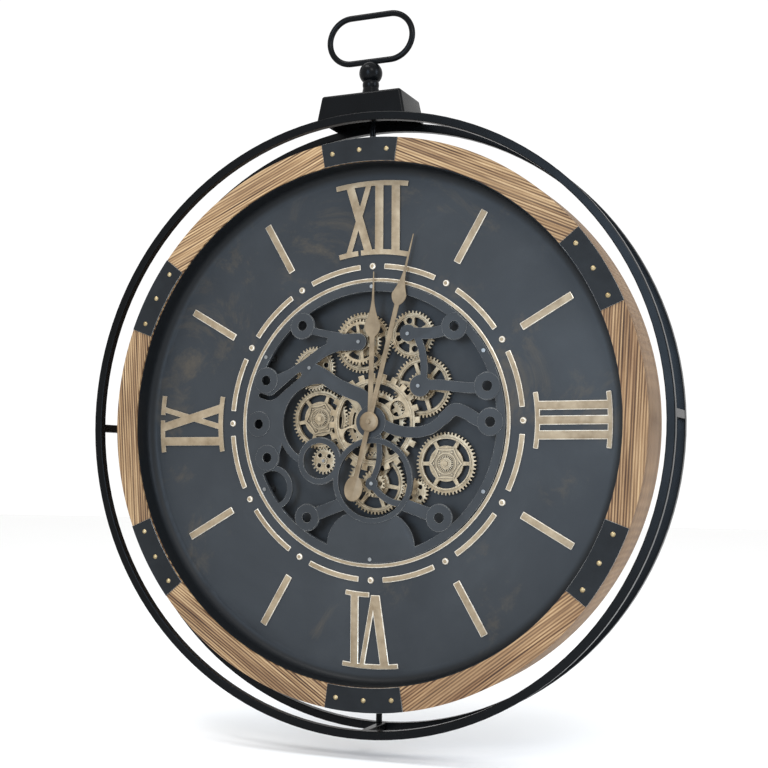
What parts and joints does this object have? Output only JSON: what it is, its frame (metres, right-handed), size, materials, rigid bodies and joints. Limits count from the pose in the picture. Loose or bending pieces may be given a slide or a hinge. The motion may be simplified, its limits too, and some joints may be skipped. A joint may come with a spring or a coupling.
{
  "type": "skeleton wall clock",
  "caption": "Round wall clock in a double steel hoop with a wooden drum case, dished dial, raised Roman numerals and turning display wheels behind a skeleton plate.",
  "frame": {"origin": "where the axis of the hands meets the wall plane, on the movement's back face", "axes": "+X to three o'clock, +Y into the wall, +Z to twelve o'clock"},
  "size_m": [0.5999, 0.0657, 0.7081],
  "materials": {
    "black_steel": "satin black enamel",
    "dial_paint": "satin charcoal paint, faintly mottled",
    "plate_paint": "matte black paint, edges rubbed lighter",
    "gold_paint": "antique champagne gold, satin",
    "hand_gold": "antique champagne gold, satin",
    "scorched_fir": "scorched and brushed softwood",
    "brass_nail": "polished, slightly dulled",
    "steel": "bright",
    "board": "matte black fibreboard",
    "black_plastic": "fine texture",
    "cell_wrap": "printed wrap, plain colour"
  },
  "bodies": {
    "clock": {"aa_cells": "cell_wrap", "back_cover": "board", "base_disc": "plate_paint", "battery_holder": "black_plastic", "bow": "black_steel", "brass_nails": "brass_nail", "centre_nut": "steel", "centre_tube": "plate_paint", "cover_screws": "steel", "crown_block": "black_steel", "dial": "dial_paint", "drum_block_1": "scorched_fir", "drum_block_2": "scorched_fir", "drum_block_3": "scorched_fir", "drum_block_4": "scorched_fir", "drum_block_5": "scorched_fir", "drum_block_6": "scorched_fir", "drum_studs": "black_steel", "finial": "black_steel", "front_hoop": "black_steel", "gear_motor": "steel", "hanger_plate": "steel", "hoop_spacers": "black_steel", "hour_batons": "gold_paint", "inner_ring": "gold_paint", "joint_plate_1": "plate_paint", "joint_plate_2": "plate_paint", "joint_plate_3": "plate_paint", "joint_plate_4": "plate_paint", "joint_plate_5": "plate_paint", "joint_plate_6": "plate_paint", "long_arbors": "steel", "minute_track": "gold_paint", "movement_case": "black_plastic", "numeral_iii": "gold_paint", "numeral_ix": "gold_paint", "numeral_vi": "gold_paint", "numeral_xii": "gold_paint", "pillars": "steel", "plate_screws": "steel", "rear_hoop": "black_steel", "short_arbors": "steel", "skeleton_plate": "plate_paint"},
    "centre_wheel": {"centre_gear": "gold_paint", "castle_wheel": "gold_paint"},
    "right_wheel": {"right_gear": "gold_paint"},
    "lower_wheel": {"lower_gear": "gold_paint"},
    "left_wheel": {"left_gear": "gold_paint"},
    "upper_right_wheel": {"upper_right_gear": "gold_paint"},
    "top_wheel": {"top_gear": "gold_paint"},
    "upper_left_wheel": {"upper_left_gear": "gold_paint"},
    "drive_wheel": {"drive_gear": "gold_paint", "motor_shaft": "steel"},
    "idler_wheel": {"idler_gear": "gold_paint"},
    "lower_right_wheel": {"lower_right_gear": "gold_paint"},
    "minute_hand_set": {"minute_hand": "hand_gold", "hand_cap": "hand_gold"},
    "hour_hand_set": {"hour_hand": "hand_gold"},
    "set_knob_body": {"set_knob": "black_plastic"},
    "power_switch_body": {"power_switch": "black_plastic"}
  },
  "joints": [
    {"name": "centre_wheel_turn", "type": "hinge", "parent": "clock", "child": "centre_wheel", "pos_m": [0, -0.024, 0], "axis": [0, 1, 0], "continuous": true},
    {"name": "right_wheel_turn", "type": "hinge", "parent": "clock", "child": "right_wheel", "pos_m": [0.04917, -0.024, 0.03439], "axis": [0, 1, 0], "continuous": true},
    {"name": "lower_wheel_turn", "type": "hinge", "parent": "clock", "child": "lower_wheel", "pos_m": [0.0009, -0.024, -0.05999], "axis": [0, 1, 0], "continuous": true},
    {"name": "left_wheel_turn", "type": "hinge", "parent": "clock", "child": "left_wheel", "pos_m": [-0.05986, -0.024, 0.00406], "axis": [0, 1, 0], "continuous": true},
    {"name": "upper_right_wheel_turn", "type": "hinge", "parent": "clock", "child": "upper_right_wheel", "pos_m": [0.03791, -0.024, 0.08536], "axis": [0, 1, 0], "continuous": true},
    {"name": "top_wheel_turn", "type": "hinge", "parent": "clock", "child": "top_wheel", "pos_m": [-0.01392, -0.024, 0.07912], "axis": [0, 1, 0], "continuous": true},
    {"name": "upper_left_wheel_turn", "type": "hinge", "parent": "clock", "child": "upper_left_wheel", "pos_m": [-0.06693, -0.024, 0.05457], "axis": [0, 1, 0], "continuous": true},
    {"name": "drive_wheel_turn", "type": "hinge", "parent": "clock", "child": "drive_wheel", "pos_m": [-0.05557, -0.024, -0.03772], "axis": [0, 1, 0], "continuous": true},
    {"name": "idler_wheel_turn", "type": "hinge", "parent": "clock", "child": "idler_wheel", "pos_m": [0.04213, -0.024, -0.06801], "axis": [0, 1, 0], "continuous": true},
    {"name": "lower_right_wheel_turn", "type": "hinge", "parent": "clock", "child": "lower_right_wheel", "pos_m": [0.07368, -0.024, -0.04029], "axis": [0, 1, 0], "continuous": true},
    {"name": "minute_hand_turn", "type": "hinge", "parent": "clock", "child": "minute_hand_set", "pos_m": [0, -0.0415, 0], "axis": [0, 1, 0], "continuous": true},
    {"name": "hour_hand_turn", "type": "hinge", "parent": "clock", "child": "hour_hand_set", "pos_m": [0, -0.0395, 0], "axis": [0, 1, 0], "continuous": true},
    {"name": "set_knob_turn", "type": "hinge", "parent": "clock", "child": "set_knob_body", "pos_m": [0.016, -0.001, 0.014], "axis": [0, 1, 0], "continuous": true},
    {"name": "power_switch_slide", "type": "slide", "parent": "clock", "child": "power_switch_body", "axis": [0, 0, 1], "range_m": [0, 0.0042]}
  ],
  "couplings": [
    {"joint": "right_wheel_turn", "follows": "centre_wheel_turn", "ratio": -1.0408},
    {"joint": "lower_wheel_turn", "follows": "centre_wheel_turn", "ratio": -1.0408},
    {"joint": "left_wheel_turn", "follows": "centre_wheel_turn", "ratio": -1.0408},
    {"joint": "upper_right_wheel_turn", "follows": "centre_wheel_turn", "ratio": 1.3421},
    {"joint": "top_wheel_turn", "follows": "centre_wheel_turn", "ratio": -1.0408},
    {"joint": "upper_left_wheel_turn", "follows": "centre_wheel_turn", "ratio": 1.4167},
    {"joint": "drive_wheel_turn", "follows": "centre_wheel_turn", "ratio": 2.4286},
    {"joint": "idler_wheel_turn", "follows": "centre_wheel_turn", "ratio": 2.4286},
    {"joint": "lower_right_wheel_turn", "follows": "centre_wheel_turn", "ratio": -1.0408},
    {"joint": "hour_hand_turn", "follows": "minute_hand_turn", "ratio": 0.083333},
    {"joint": "set_knob_turn", "follows": "minute_hand_turn", "ratio": 3}
  ]
}
